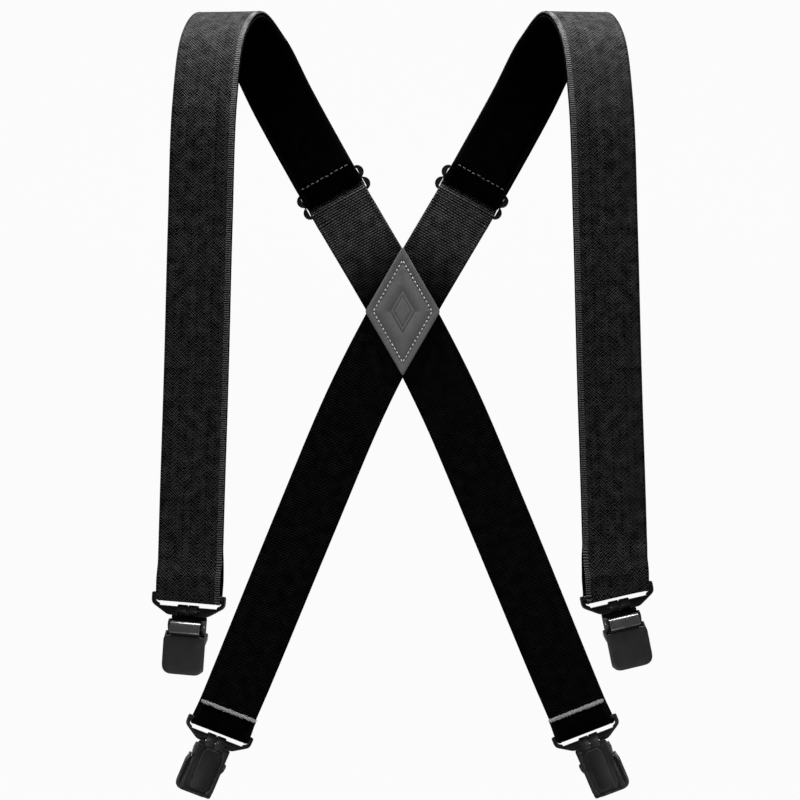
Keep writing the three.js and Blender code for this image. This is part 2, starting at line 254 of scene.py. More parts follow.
def bump(tree, shader, height, strength, distance):
    node = tree.nodes.new("ShaderNodeBump")
    node.inputs["Strength"].default_value = strength
    node.inputs["Distance"].default_value = distance
    tree.links.new(height, node.inputs["Height"])
    tree.links.new(node.outputs["Normal"], shader.inputs["Normal"])


# webbing weaves: the UV map holds millimetres across and along the ribbon


def threadPhase(tree, value, pitch):
    turns = maths(tree, "DIVIDE", value, pitch)
    wave = maths(tree, "SINE", maths(tree, "MULTIPLY", turns, 2 * math.pi))
    return maths(tree, "ADD", maths(tree, "MULTIPLY", wave, 0.5), 0.5)


# thread spacings and repeats in millimetres, noise scales in turns per millimetre
weaveLook = {
    "twill": 1.58, "zigzag": 8.8, "rib": 1.5, "stitch": 2.2, "shift": 0.95, "fibre": 2.2, "blotch": 0.16,
}


def openWeave(name, *inputs):
    sockets = [("Vector", "NodeSocketVector", None)]
    sockets += [(socket, "NodeSocketFloat", value) for socket, value in inputs]
    outputs = [(socket, "NodeSocketFloat") for socket in ("Height", "Fibre", "Blotch")]
    group, start, end = nodeGroup(name, sockets, outputs)
    split = group.nodes.new("ShaderNodeSeparateXYZ")
    group.links.new(start.outputs["Vector"], split.inputs[0])
    return group, start, end, split.outputs[0], split.outputs[1]


def closeWeave(group, start, end, height):
    vector = start.outputs["Vector"]
    group.links.new(height, end.inputs["Height"])
    group.links.new(noise(group, vector, weaveLook["fibre"], 4.0), end.inputs["Fibre"])
    group.links.new(noise(group, vector, weaveLook["blotch"], 3.0), end.inputs["Blotch"])
    return group


def herringboneGroup():
    group, start, end, across, along = openWeave(
        "herringbone", ("Pitch", weaveLook["twill"]), ("Period", weaveLook["zigzag"]))
    pitch = start.outputs["Pitch"]
    half = maths(group, "MULTIPLY", start.outputs["Period"], 0.5)
    quarter = maths(group, "MULTIPLY", half, 0.5)
    zigzag = maths(group, "PINGPONG", across, half)
    wander = centred(group, noise(group, start.outputs["Vector"], 0.55, 2.0), 0.55)
    slant = maths(group, "ADD", maths(group, "ADD", along, zigzag), wander)
    ridge = threadPhase(group, slant, pitch)
    counter = maths(group, "ADD", maths(group, "SUBTRACT", along, zigzag), wander)
    crossing = threadPhase(group, counter, maths(group, "MULTIPLY", pitch, 1.7))
    valley = maths(group, "ABSOLUTE", maths(group, "SUBTRACT", zigzag, quarter))
    crease = maths(group, "POWER", maths(group, "DIVIDE", valley, quarter), 14.0)
    woven = maths(group, "MULTIPLY_ADD", ridge, 0.72, maths(group, "MULTIPLY", crossing, 0.28))
    height = maths(group, "SUBTRACT", woven, maths(group, "MULTIPLY", crease, 0.22))
    return closeWeave(group, start, end, height)


def weftRibGroup():
    group, start, end, across, along = openWeave(
        "weftRibs", ("Pitch", weaveLook["rib"]), ("Stitch", weaveLook["stitch"]))
    pitch = start.outputs["Pitch"]
    bent = maths(group, "ADD", along, centred(group, noise(group, start.outputs["Vector"], 0.4, 2.0), 0.7))
    ridge = maths(group, "POWER", threadPhase(group, bent, pitch), 0.6)
    row = maths(group, "FLOOR", maths(group, "DIVIDE", bent, pitch))
    shifted = maths(group, "ADD", across, maths(group, "MULTIPLY", row, weaveLook["shift"]))
    stitch = maths(group, "POWER", threadPhase(group, shifted, start.outputs["Stitch"]), 0.5)
    height = maths(group, "MULTIPLY", ridge, maths(group, "MULTIPLY_ADD", stitch, 0.45, 0.55))
    return closeWeave(group, start, end, height)


weaves = {"herringbone": herringboneGroup(), "ribs": weftRibGroup()}
webbingLook = {
    "face": {"weave": "herringbone", "dark": 0.0002, "light": 0.021,
             "bump": 0.9, "depth": 0.3 * mm, "sheen": 0.006},
    "back": {"weave": "ribs", "dark": 0.0001, "light": 0.0028,
             "bump": 0.9, "depth": 0.3 * mm, "sheen": 0.0},
    # painted shade: a far darker copy of the face weave, for the inner layers and the hem fold
    "inside": {"weave": "herringbone", "dark": 0.0001, "light": 0.001,
               "bump": 0.5, "depth": 0.15 * mm, "sheen": 0.0},
}


# on the ribbed back a painted highlight: the threads' colour is scaled up, paler, over this stretch of ribbon
# towards the slide
paintedLightStretch = {"start": 316.0, "full": 362.0, "gain": 11.0}


def webbingMaterial(name, look):
    material, tree, shader = newMaterial(name, 0.85, 0.0, Sheen_Weight=look["sheen"], Sheen_Roughness=0.3)
    vector, along = ribbonPlace(tree)
    weave = placeGroup(tree, weaves[look["weave"]], Vector=vector)
    fibre = centred(tree, weave.outputs["Fibre"], 0.9)
    blotch = centred(tree, weave.outputs["Blotch"], 0.9)
    tone = maths(tree, "ADD", maths(tree, "ADD", weave.outputs["Height"], fibre), blotch, clamp=True)
    color = ramp(tree, tone, [(0.38, grey(look["dark"], 1.05)), (0.98, grey(look["light"], 1.02))])
    # the ribbed back gets the painted highlight over the stretch towards the slide
    if look["weave"] == "ribs":
        color = paintedLightGain(tree, along, color)
    paint(tree, shader, color)
    bump(tree, shader, weave.outputs["Height"], look["bump"], look["depth"])
    return material


# painted highlight: scales the colour up, paler, along the given stretch of ribbon
def paintedLightGain(tree, along, color):
    zone = tree.nodes.new("ShaderNodeMapRange")
    zone.interpolation_type = "SMOOTHSTEP"
    zone.inputs["From Min"].default_value = paintedLightStretch["start"]
    zone.inputs["From Max"].default_value = paintedLightStretch["full"]
    zone.inputs["To Min"].default_value = 1.0
    zone.inputs["To Max"].default_value = paintedLightStretch["gain"]
    tree.links.new(along, zone.inputs["Value"])
    gain = tree.nodes.new("ShaderNodeVectorMath")
    gain.operation = "SCALE"
    tree.links.new(color, gain.inputs[0])
    tree.links.new(zone.outputs["Result"], gain.inputs["Scale"])
    return gain.outputs[0]


# the ladder of threads along the webbing's edges; the darker inner value is painted shade, a shaded copy of
# the outer one
selvedgeLook = {"pitch": 1.27, "dark": 0.0002, "outside": 0.04, "inside": 0.002}


def selvedgeMaterial(name, light):
    material, tree, shader = newMaterial(name, 0.85, 0.0)
    vector, along = ribbonPlace(tree)
    wander = maths(tree, "MULTIPLY", noise(tree, vector, 0.8, 2.0), 0.5)
    rung = threadPhase(tree, maths(tree, "ADD", along, wander), selvedgeLook["pitch"])
    broken = centred(tree, noise(tree, vector, 1.3, 3.0), 1.6)
    tone = maths(tree, "ADD", rung, broken, clamp=True)
    paint(tree, shader, ramp(tree, tone, [(0.2, grey(selvedgeLook["dark"])), (1.0, grey(light, 1.02))]))
    bump(tree, shader, rung, 0.8, 0.25 * mm)
    return material


# the last two finishes are painted shade: darker copies of the face and selvedge for the inner layers and the
# hem fold
webbingFinish = [
    webbingMaterial("webbingFace", webbingLook["face"]),
    webbingMaterial("webbingBack", webbingLook["back"]),
    selvedgeMaterial("webbingSelvedge", selvedgeLook["outside"]),
    webbingMaterial("webbingShadedInside", webbingLook["inside"]),
    selvedgeMaterial("insideSelvedge", selvedgeLook["inside"]),
]
print("webbing finishes made")

# webbing: the route of the strap over the wearer's right shoulder, in millimetres above the middle level

strap = {
    "width": 38.0,
    "thick": 1.8,
    "squeezed": 1.3,
    "layers": 2.5,
    "rise": 224.6,
    "crossing": 54.0,
    "crossDepth": 1.15,
    "turnOut": 14.0,
    "slideStep": 5,
    "archStart": 6,
    "frontStart": 10,
    "slideReach": 14.0,
    "slideLift": 1.65,
    "hemReach": 15.5,
    "hemFold": 14,
    "loopReach": 27.0,
    "loopRadius": 2.75,
    "roll": {"right": -0.8, "left": -8.5},
    "frontStep": {"right": 15, "left": 14.55},
    "apexStep": 8,
    "rung": 0.6,
    "scallop": 0.1,
}


def backDepth(z):
    rise = z - strap["crossing"]
    return 75 - 0.157 * rise - 0.0003 * rise * rise


backRoute = [(112.5, -202.2), (100.1, -173), (59.4, -74), (27.9, 0), (0, 54), (-42, 126), (-72, 180)]
archRoute = [(-88, 35, 212), (-101, 1, 228), (-110, -35, 211), (-114.2, -50, 172)]
frontRoute = [(-116.6, -54, 100), (-118.6, -57, 17), (-120.8, -59, -55),
              (-122.2, -60, -104.8), (-122.6, -60, -112.4)]
route = [Vector((x, backDepth(z), z)) for x, z in backRoute]
route += [Vector(point) for point in archRoute + frontRoute]
lastStep = len(route) - 1


def splinePoint(points, segment, along):
    last = len(points) - 1
    b, c = points[segment], points[segment + 1]
    a = points[segment - 1] if segment > 0 else b * 2 - c
    d = points[segment + 2] if segment + 2 <= last else c * 2 - b
    first, middle, third = (max((q - p).length ** 0.5, 1e-4) for p, q in ((a, b), (b, c), (c, d)))
    leave = ((b - a) / first - (c - a) / (first + middle) + (c - b) / middle) * middle
    arrive = ((c - b) / middle - (d - b) / (middle + third) + (d - c) / third) * middle
    square = along * along
    return (b + leave * along + (b * -3 + c * 3 - leave * 2 - arrive) * square
            + (b * 2 - c * 2 + leave + arrive) * square * along)


def routeAt(step):
    step = min(max(step, 0.0), lastStep)
    segment = min(int(step), lastStep - 1)
    return splinePoint(route, segment, step - segment)


def routeTangent(step):
    gap = 0.0015
    low, high = max(step - gap, 0), min(step + gap, lastStep)
    return (routeAt(high) - routeAt(low)).normalized()


def smoothStep(value, low, high):
    t = min(max((value - low) / (high - low), 0.0), 1.0)
    return t * t * (3 - 2 * t)


def station(step, offset, side):
    travel = routeTangent(step)
    turn = smoothStep(2.6 - step, 0, 2.2) + smoothStep(step, strap["archStart"], strap["frontStart"])
    yaw = math.radians(strap["turnOut"]) * turn
    across = Vector((math.cos(yaw), -math.sin(yaw), 0))
    across = (across - travel * across.dot(travel)).normalized()
    outward = travel.cross(across).normalized()
    roll = math.radians(strap["roll"][side]) * smoothStep(step, lastStep - 3.4, lastStep - 1.6)
    across = Matrix.Rotation(roll, 3, outward) @ across
    outward = travel.cross(across).normalized()
    point = routeAt(step) + outward * offset
    depth = strap["crossDepth"] if side == "right" else -strap["crossDepth"]
    point.y += depth * (1 - smoothStep(step, strap["archStart"] - 0.8, strap["archStart"] + 1))
    return point, across, outward


def stepAt(step, distance):
    here = routeAt(step)
    reach = step
    while (routeAt(reach) - here).length < abs(distance):
        reach += math.copysign(0.004, distance)
    return reach


def stretch(start, end, count, offset, side):
    steps = [start + (end - start) * i / count for i in range(count + 1)]
    return [(*station(step, offset, side)[:2], strap["thick"]) for step in steps]


def turnRound(radius, start, end, count):
    angles = [math.radians(start + (end - start) * i / count) for i in range(count + 1)]
    return [(radius * math.cos(angle), radius * math.sin(angle)) for angle in angles]


def localRun(base, up, points):
    point, across, outward = base
    made = []
    for spot in points:
        thick = spot[2] if len(spot) > 2 else strap["thick"]
        made.append((point + outward * spot[0] + up * spot[1], across, thick))
    return made


def evenRun(controls, spacing):
    points = [control[0] for control in controls]
    fine = []
    for i in range(len(controls) - 1):
        (wideA, thickA), (wideB, thickB) = controls[i][1:], controls[i + 1][1:]
        for k in range(8):
            t = k / 8
            fine.append((splinePoint(points, i, t), wideA.lerp(wideB, t), thickA + (thickB - thickA) * t))
    fine.append(controls[-1])
    lengths = [0.0]
    for before, after in zip(fine, fine[1:]):
        lengths.append(lengths[-1] + (after[0] - before[0]).length)
    count = round(lengths[-1] / spacing)
    run, place = [], 0
    for i in range(count + 1):
        reach = lengths[-1] * i / count
        while place < len(fine) - 2 and lengths[place + 1] < reach:
            place += 1
        t = (reach - lengths[place]) / (lengths[place + 1] - lengths[place])
        (pointA, wideA, thickA), (pointB, wideB, thickB) = fine[place], fine[place + 1]
        run.append((pointA.lerp(pointB, t), wideA.lerp(wideB, t), thickA + (thickB - thickA) * t, reach))
    return run


# half of the ribbon's section, from its middle to its edge: across and half thickness, both of 1
ribbonHalf = [(0.0, 0.93), (0.3, 0.93), (0.6, 0.94), (0.815, 0.95), (0.855, 0.74), (0.885, 0.97),
              (0.94, 1.0), (0.975, 0.8), (0.995, 0.42)]


def ribbonSection():
    outer = [(-a, h) for a, h in reversed(ribbonHalf[1:])] + ribbonHalf
    inner = [(-a, -h) for a, h in outer]
    return [*outer, (1.0, 0.0), *inner, (-1.0, 0.0), outer[0]]


def addRibbon(bm, controls, side, inPaintedShade):
    run = evenRun(controls, strap["rung"])
    section = ribbonSection()
    rows, columns = len(run), len(section)
    grid = bmesh.ops.create_grid(bm, x_segments=columns - 1, y_segments=rows - 1, size=1)["verts"]
    uvLayer = bm.loops.layers.uv.verify()
    half = strap["width"] / 2
    spots = {}
    for row in range(rows):
        point, across, thick, reach = run[row]
        travel = run[min(row + 1, rows - 1)][0] - run[max(row - 1, 0)][0]
        outward = travel.cross(across).normalized()
        across = outward.cross(travel).normalized()
        scallop = strap["scallop"] * (1 if row % 2 else -1)
        for column in range(columns):
            a, h = section[column]
            edge = smoothStep(abs(a), 0.86, 1.0)
            wide = a * half + math.copysign(scallop * edge, a)
            high = h * thick / 2 * (1 + 0.12 * (1 if row % 2 else -1) * edge)
            vert = grid[row * columns + column]
            vert.co = place(point + across * wide + outward * high, side)
            spots[vert] = (column, a * half, reach)
    for face in {face for vert in grid for face in vert.link_faces}:
        face.smooth = True
        columnsHere = [spots[vert][0] for vert in face.verts]
        middle = sum(spots[vert][1] for vert in face.verts) / 4 / half
        isOuter = max(columnsHere) <= 2 * len(ribbonHalf) - 2
        isInner = min(columnsHere) >= 2 * len(ribbonHalf) and max(columnsHere) <= 4 * len(ribbonHalf) - 2
        isBand = abs(middle) > 0.85
        reach = min(spots[vert][2] for vert in face.verts)
        # runs marked here get the painted-shade copies of the face and selvedge
        dark = inPaintedShade(reach)
        if isBand or not (isOuter or isInner):
            face.material_index = 4 if dark else (1 if isInner else (0 if middle < -0.85 else 2))
        else:
            face.material_index = 1 if isInner else (3 if dark else 0)
        for loop in face.loops:
            loop[uvLayer].uv = spots[loop.vert][1:]
    bmesh.ops.remove_doubles(bm, verts=grid, dist=1e-6)
    caps = bmesh.ops.holes_fill(bm, edges=[edge for edge in bm.edges if edge.is_boundary], sides=0)["faces"]
    for face in caps:
        face.material_index = 2
        face.smooth = False
        for edge in face.edges:
            edge.smooth = False
        for loop in face.loops:
            loop[uvLayer].uv = (0.0, 0.0)


def place(point, side):
    mirror = -1 if side == "left" else 1
    return Vector((point.x * mirror, point.y, point.z - strap["rise"])) * mm


def makePiece(name, bm, materials, body, slot, *nodes):
    bmesh.ops.recalc_face_normals(bm, faces=bm.faces)
    mesh = bpy.data.meshes.new(name)
    bm.to_mesh(mesh)
    bm.free()
    for material in materials:
        mesh.materials.append(material)
    piece = bpy.data.objects.new(name, mesh)
    bpy.context.scene.collection.objects.link(piece)
    if body:
        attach(piece, body)
    if nodes:
        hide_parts(*nodes)
    return piece


def ribbonPiece(name, runs, side, nodes):
    bm = bmesh.new()
    bm.loops.layers.uv.new("ribbon")
    for controls, inPaintedShade in runs:
        addRibbon(bm, controls, side, inPaintedShade)
    return makePiece(name, bm, webbingFinish, None, "webbing", *nodes)


def strapParts(side):
    apex = strap["apexStep"]
    frontStep = strap["frontStep"][side]
    backBase = station(0, -1.3, side)
    radius = strap["loopRadius"]
    hem = localRun(backBase, routeTangent(0), [
        (-1, strap["hemReach"] - radius - strap["thick"] / 2), (-1.2, 8), (-2.5, 3),
        *turnRound(radius, 180, 360, 8), (2.5, 3), (1.3, 11),
    ])
    lift, reach = strap["slideLift"], strap["slideReach"]
    slideBase = station(strap["slideStep"], lift, side)
    slideUp = routeTangent(strap["slideStep"])
    thin = strap["squeezed"]
    rising = [(-lift, -reach), (-lift, -10.8), (-lift, -8.8, thin), (-lift, -6.35, thin), (3.2, -1.8, thin)]
    falling = [(point[0], -point[1], *point[2:]) for point in reversed(rising)]
    weave = localRun(slideBase, slideUp, [*rising, (3.95, 0, thin), *falling])
    low = stepAt(strap["slideStep"], -reach - 3)
    high = stepAt(strap["slideStep"], reach + 3)
    bend = strap["archStart"] - 0.5
    backRun = [*hem, *stretch(stepAt(0, 16), low, 40, 0, side), *weave[:6]]
    runningUp = [*weave[5:], *stretch(high, bend, 6, 0, side), *stretch(bend, apex, 40, 0, side)[1:]]
    inner = -strap["layers"]
    endLoop = localRun(slideBase, slideUp, [
        (inner - lift, reach), (inner - lift, 11), (-3.4, 8.6, thin), (-3.4, 6.4, thin),
        *[(n, rise, thin) for n, rise in turnRound(lift, 180, 362, 7)],
    ])
    innerDown = [*stretch(apex, bend, 40, inner, side), *stretch(bend, high, 6, inner, side)[1:], *endLoop]
    frontEnd = stepAt(frontStep, -strap["loopReach"])
    outerDown = [*stretch(apex, strap["frontStart"], 40, 0, side),
                 *stretch(strap["frontStart"], frontEnd, 30, 0, side)[1:]]
    half = strap["layers"] / 2
    frontBase = station(frontStep, -half, side)
    loop = localRun(frontBase, routeTangent(frontStep) * -1, [
        (half + 0.8, 19), (3.4, 10), (3.1, 4), *turnRound(radius, 0, -180, 8),
        (-3.1, 4), (-3.4, 10), (-half - 0.8, 19),
    ])
    outerRun = [*outerDown, *loop[:7]]
    turned = sum((after[0] - before[0]).length for before, after in zip(outerRun, outerRun[1:]))
    innerUp = [*stretch(frontEnd, strap["frontStart"], 30, inner, side),
               *stretch(strap["frontStart"], apex, 40, inner, side)[1:]]
    return {
        # runs marked true get the painted-shade finishes: the hem fold and the inner layers
        "back": [(backRun, lambda reach: reach < strap["hemFold"])],
        "shoulder": [(runningUp, lambda reach: False), (innerDown, lambda reach: True)],
        "front": [([*outerDown, *loop, *innerUp], lambda reach: reach > turned)],
        "slideBase": slideBase, "slideUp": slideUp, "backBase": backBase,
    }


def spot(side, step, rise=0.0):
    point = routeAt(step) + routeTangent(step) * rise
    return tuple(place(point, side))


straps = {}
for side in ("right", "left"):
    parts = strapParts(side)
    straps[side] = parts
    slideNodes = (f"{side}_slide_weave", f"{side}_end_loop")
    backNodes = (f"{side}_back_strap", slideNodes[0])
    back = ribbonPiece(f"{side}BackStrap", parts["back"], side, backNodes)
    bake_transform(back)
    shoulder = ribbonPiece(f"{side}ShoulderStrap", parts["shoulder"], side, slideNodes)
    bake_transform(shoulder)
    frontNodes = (f"{side}_outer_layer", f"{side}_inner_layer", f"{side}_front_loop")
    front = ribbonPiece(f"{side}FrontStrap", parts["front"], side, frontNodes)
    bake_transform(front)
    print(side, "strap made")

# metal and leather finishes, on object coordinates in metres


def wearGroup():
    group, start, end = nodeGroup(
        "wear",
        [("Vector", "NodeSocketVector", None), ("Rim", "NodeSocketFloat", 0.0),
         ("Scale", "NodeSocketFloat", 900.0)],
        [("Rubbed", "NodeSocketFloat"), ("Cloud", "NodeSocketFloat"), ("Peel", "NodeSocketFloat")],
    )
    vector = start.outputs["Vector"]
    patches = maths(group, "MULTIPLY_ADD", noise(group, vector, 420.0, 4.0, 0.65), 2.4, -0.55)
    rubbed = maths(group, "MULTIPLY", start.outputs["Rim"], patches, clamp=True)
    group.links.new(rubbed, end.inputs["Rubbed"])
    group.links.new(noise(group, vector, 160.0, 3.0), end.inputs["Cloud"])
    fine = group.nodes.new("ShaderNodeTexNoise")
    fine.inputs["Detail"].default_value = 2.0
    group.links.new(start.outputs["Scale"], fine.inputs["Scale"])
    group.links.new(vector, fine.inputs["Vector"])
    group.links.new(fine.outputs["Fac"], end.inputs["Peel"])
    return group


wear = wearGroup()
metalLook = {
    "ring": {"dark": 0.001, "pale": 0.0022, "worn": 0.03, "rough": 0.42,
             "spread": 0.14, "gloss": 0.05, "peel": 0.05},
    "plate": {"dark": 0.0015, "pale": 0.004, "worn": 0.04, "rough": 0.45,
              "spread": 0.16, "gloss": 0.08, "peel": 0.06},
    "cover": {"dark": 0.005, "pale": 0.009, "worn": 0.05, "rough": 0.42,
              "spread": 0.12, "gloss": 0.13, "peel": 0.04},
    "lever": {"dark": 0.008, "pale": 0.016, "worn": 0.14, "rough": 0.28,
              "spread": 0.12, "gloss": 0.6, "peel": 0.03},
    "pin": {"dark": 0.02, "pale": 0.05, "worn": 0.2, "rough": 0.35,
            "spread": 0.15, "gloss": 0.5, "peel": 0.05},
}


def paintedMetal(name, look):
    material, tree, shader = newMaterial(name, look["rough"], look["gloss"])
    rim = tree.nodes.new("ShaderNodeAttribute")
    rim.attribute_name = "rim"
    worn = placeGroup(tree, wear, Vector=objectPlace(tree), Rim=rim.outputs["Fac"], Scale=1500.0)
    tone = maths(tree, "ADD", maths(tree, "MULTIPLY", worn.outputs["Cloud"], 0.5),
                 maths(tree, "MULTIPLY", worn.outputs["Rubbed"], 0.5))
    stops = [(0.15, grey(look["dark"], 1.06)), (0.42, grey(look["pale"], 1.06)), (0.8, grey(look["worn"]))]
    smoothest = look["rough"] - look["spread"] / 2
    rough = maths(tree, "MULTIPLY_ADD", worn.outputs["Cloud"], look["spread"], smoothest)
    paint(tree, shader, ramp(tree, tone, stops), rough)
    tree.links.new(worn.outputs["Rubbed"], shader.inputs["Metallic"])
    bump(tree, shader, worn.outputs["Peel"], look["peel"], 0.1 * mm)
    return material


def rubberMaterial():
    material, tree, shader = newMaterial("gripRubber", 0.75, 0.3)
    cloud = placeGroup(tree, wear, Vector=objectPlace(tree), Scale=2600.0)
    paint(tree, shader, ramp(tree, cloud.outputs["Cloud"], [(0.3, grey(0.004)), (0.8, grey(0.014, 0.93))]))
    bump(tree, shader, cloud.outputs["Peel"], 0.4, 0.15 * mm)
    return material


def steelMaterial():
    material, tree, shader = newMaterial("springSteel", 0.3, Metallic=1.0)
    cloud = placeGroup(tree, wear, Vector=objectPlace(tree), Scale=3200.0)
    color = ramp(tree, cloud.outputs["Cloud"], [(0.3, grey(0.16, 1.03)), (0.75, grey(0.34, 1.015))])
    paint(tree, shader, color, maths(tree, "MULTIPLY_ADD", cloud.outputs["Peel"], 0.3, 0.2))
    bump(tree, shader, cloud.outputs["Peel"], 0.1, 0.05 * mm)
    return material


leatherLook = {
    "dark": 0.028, "middle": 0.041, "light": 0.053, "blue": 1.012, "pebbles": 1150.0, "wander": 0.6 * mm,
}


def leatherMaterial():
    material, tree, shader = newMaterial("greyLeather", 0.6, 0.15)
    vector = objectPlace(tree)
    cells = tree.nodes.new("ShaderNodeTexVoronoi")
    cells.feature = "DISTANCE_TO_EDGE"
    cells.inputs["Scale"].default_value = leatherLook["pebbles"]
    shift = noise(tree, vector, 700.0, 2.0)
    warped = tree.nodes.new("ShaderNodeVectorMath")
    wander = tree.nodes.new("ShaderNodeVectorMath")
    wander.operation = "SCALE"
    wander.inputs["Scale"].default_value = leatherLook["wander"]
    combined = tree.nodes.new("ShaderNodeCombineXYZ")
    for socket in combined.inputs:
        tree.links.new(shift, socket)
    tree.links.new(combined.outputs[0], wander.inputs[0])
    tree.links.new(vector, warped.inputs[0])
    tree.links.new(wander.outputs[0], warped.inputs[1])
    tree.links.new(warped.outputs[0], cells.inputs["Vector"])
    steep = maths(tree, "MULTIPLY", cells.outputs["Distance"], 3.2)
    pebble = maths(tree, "SMOOTH_MIN", steep, 0.8, 0.3)
    cloud = placeGroup(tree, wear, Vector=vector, Scale=420.0)
    tone = maths(tree, "MULTIPLY_ADD", cloud.outputs["Cloud"], 0.55, maths(tree, "MULTIPLY", pebble, 0.35))
    shades = ((0.25, "dark"), (0.6, "middle"), (0.9, "light"))
    stops = [(stop, grey(leatherLook[shade], leatherLook["blue"])) for stop, shade in shades]
    color = ramp(tree, tone, stops)
    paint(tree, shader, color, maths(tree, "MULTIPLY_ADD", cloud.outputs["Cloud"], 0.25, 0.45))
    bump(tree, shader, pebble, 0.45, 0.12 * mm)
    return material


def threadMaterial(name, dark, light):
    material, tree, shader = newMaterial(name, 0.7, 0.3, Sheen_Weight=0.2)
    twist = noise(tree, objectPlace(tree), 2600.0, 3.0, 0.7)
    paint(tree, shader, ramp(tree, twist, [(0.3, grey(dark)), (0.7, grey(light))]))
    bump(tree, shader, twist, 0.7, 0.12 * mm)
    return material


finish = {name: [paintedMetal(f"{name}Paint", look)] for name, look in metalLook.items()}
finish["grip"] = [rubberMaterial()]
finish["spring"] = [steelMaterial()]
finish["leather"] = [leatherMaterial()]
finish["paleThread"] = [threadMaterial("paleThread", 0.07, 0.19)]
# the dark finish serves both the slide seam's thread and the painted shade in the crosspatch stitch holes
finish["darkThreadAndHoleShade"] = [threadMaterial("darkThreadAndHoleShade", 0.004, 0.016)]
finish["hemThread"] = [threadMaterial("hemThread", 0.02, 0.14)]
print("metal, leather and thread finishes made")

# shapes in a clip's or slide's own millimetres: u across, n outward, z up


def local(u, n, z):
    return Vector((u, -n, z))


def rounded(points, radius, segments=5):
    made = []
    corners = [Vector(point) for point in points]
    for i, corner in enumerate(corners):
        before, after = corners[i - 1], corners[(i + 1) % len(corners)]
        reach = radius[i] if isinstance(radius, (list, tuple)) else radius
        start = corner + (before - corner).normalized() * reach
        end = corner + (after - corner).normalized() * reach
        for k in range(segments + 1):
            t = k / segments
            made.append(start * (1 - t) ** 2 + corner * 2 * t * (1 - t) + end * t * t)
    return [tuple(point) for point in made]


def softenEdges(bm, verts, width, segments=2, sharp=0.55):
    rim = bm.faces.layers.float.get("rim")
    edges = {edge for vert in verts if vert.is_valid for edge in vert.link_edges}
    sharpEdges = [edge for edge in edges if len(edge.link_faces) == 2 and edge.calc_face_angle(0) > sharp]
    if not sharpEdges:
        return
    made = bmesh.ops.bevel(bm, geom=sharpEdges, offset=width, offset_type="OFFSET", affect="EDGES",
                           segments=segments, profile=0.5, material=-1, clamp_overlap=True)
    for face in made["faces"]:
        face[rim] = 1.0


def extruded(bm, loops, depth, bevel, segments=2):
    edges = []
    for loop in loops:
        verts = [bm.verts.new(point) for point in loop]
        edges += [bm.edges.new((verts[i - 1], verts[i])) for i in range(len(verts))]
    if len(loops) > 1:
        filled = bmesh.ops.triangle_fill(bm, edges=edges, use_beauty=True)["geom"]
        faces = [item for item in filled if isinstance(item, bmesh.types.BMFace)]
    else:
        faces = [bm.faces.new([edge.verts[0] for edge in edges])]
    made = bmesh.ops.extrude_face_region(bm, geom=faces, use_keep_orig=True)["geom"]
    moved = [item for item in made if isinstance(item, bmesh.types.BMVert)]
    bmesh.ops.translate(bm, verts=moved, vec=depth)
    solid = list({vert for face in faces for vert in face.verts} | set(moved))
    bmesh.ops.recalc_face_normals(bm, faces=list({face for vert in solid for face in vert.link_faces}))
    softenEdges(bm, solid, bevel, segments)


def stacked(bm, loops):
    verts = [bm.verts.new(point) for point in loops[0]]
    edges = first = [bm.edges.new((verts[i - 1], verts[i])) for i in range(len(verts))]
    for loop in loops[1:]:
        made = bmesh.ops.extrude_edge_only(bm, edges=edges)["geom"]
        fresh = {item for item in made if isinstance(item, bmesh.types.BMVert)}
        verts = [next(edge.other_vert(vert) for edge in vert.link_edges if edge.other_vert(vert) in fresh)
                 for vert in verts]
        for vert, point in zip(verts, loop):
            vert.co = point
        edges = [bm.edges.get((verts[i - 1], verts[i])) for i in range(len(verts))]
    for end in (first, edges):
        bmesh.ops.edgeloop_fill(bm, edges=end)


def plate(bm, outlines, low, high, bevel=0.25, segments=2):
    loops = [[local(u, low, z) for u, z in outline] for outline in outlines]
    return extruded(bm, loops, local(0, high - low, 0), bevel, segments)


def profileAcross(bm, outline, left, right, bevel=0.2, segments=2):
    return extruded(bm, [[local(left, n, z) for n, z in outline]], local(right - left, 0, 0), bevel, segments)


def rod(bm, radius, left, right, n, z, bevel=0.2, segments=28):
    turn = Matrix.Translation(local((left + right) / 2, n, z)) @ Matrix.Rotation(math.pi / 2, 4, "Y")
    made = bmesh.ops.create_cone(bm, cap_ends=True, segments=segments, radius1=radius, radius2=radius,
                                 depth=right - left, matrix=turn)["verts"]
    softenEdges(bm, made, bevel, 2, 1.0)


def box(bm, left, right, low, high, bottom, top, bevel=0.2):
    plate(bm, [[(left, bottom), (right, bottom), (right, top), (left, top)]], low, high, bevel)


def newShape():
    bm = bmesh.new()
    bm.faces.layers.float.new("rim")
    return bm


def finishShape(name, bm, matrix, finishName, body, slot, *nodes, angle=0.6):
    bmesh.ops.scale(bm, vec=(mm, mm, mm), verts=bm.verts)
    bmesh.ops.transform(bm, matrix=matrix, verts=bm.verts)
    for face in bm.faces:
        face.smooth = True
    for edge in bm.edges:
        edge.smooth = len(edge.link_faces) == 2 and edge.calc_face_angle(0) < angle
    return makePiece(name, bm, finish[finishName], body, slot, *nodes)


def arc(radius, start, end, count, n=0.0, z=0.0):
    angles = [math.radians(start + (end - start) * i / count) for i in range(count + 1)]
    return [(n + radius * math.cos(angle), z + radius * math.sin(angle)) for angle in angles]


# clips

ring = {
    "half": 21.9, "inner": 19.7, "foot": 11.8, "notch": 6.25, "slot": 17.4,
    "low": -3.6, "lip": 1.5, "top": 9.0,
    "bar": 7.6, "barRadius": 1.5, "barHalf": 20.8, "hingeRadius": 1.4, "hingeHalf": 7.6, "thick": 1.3,
}


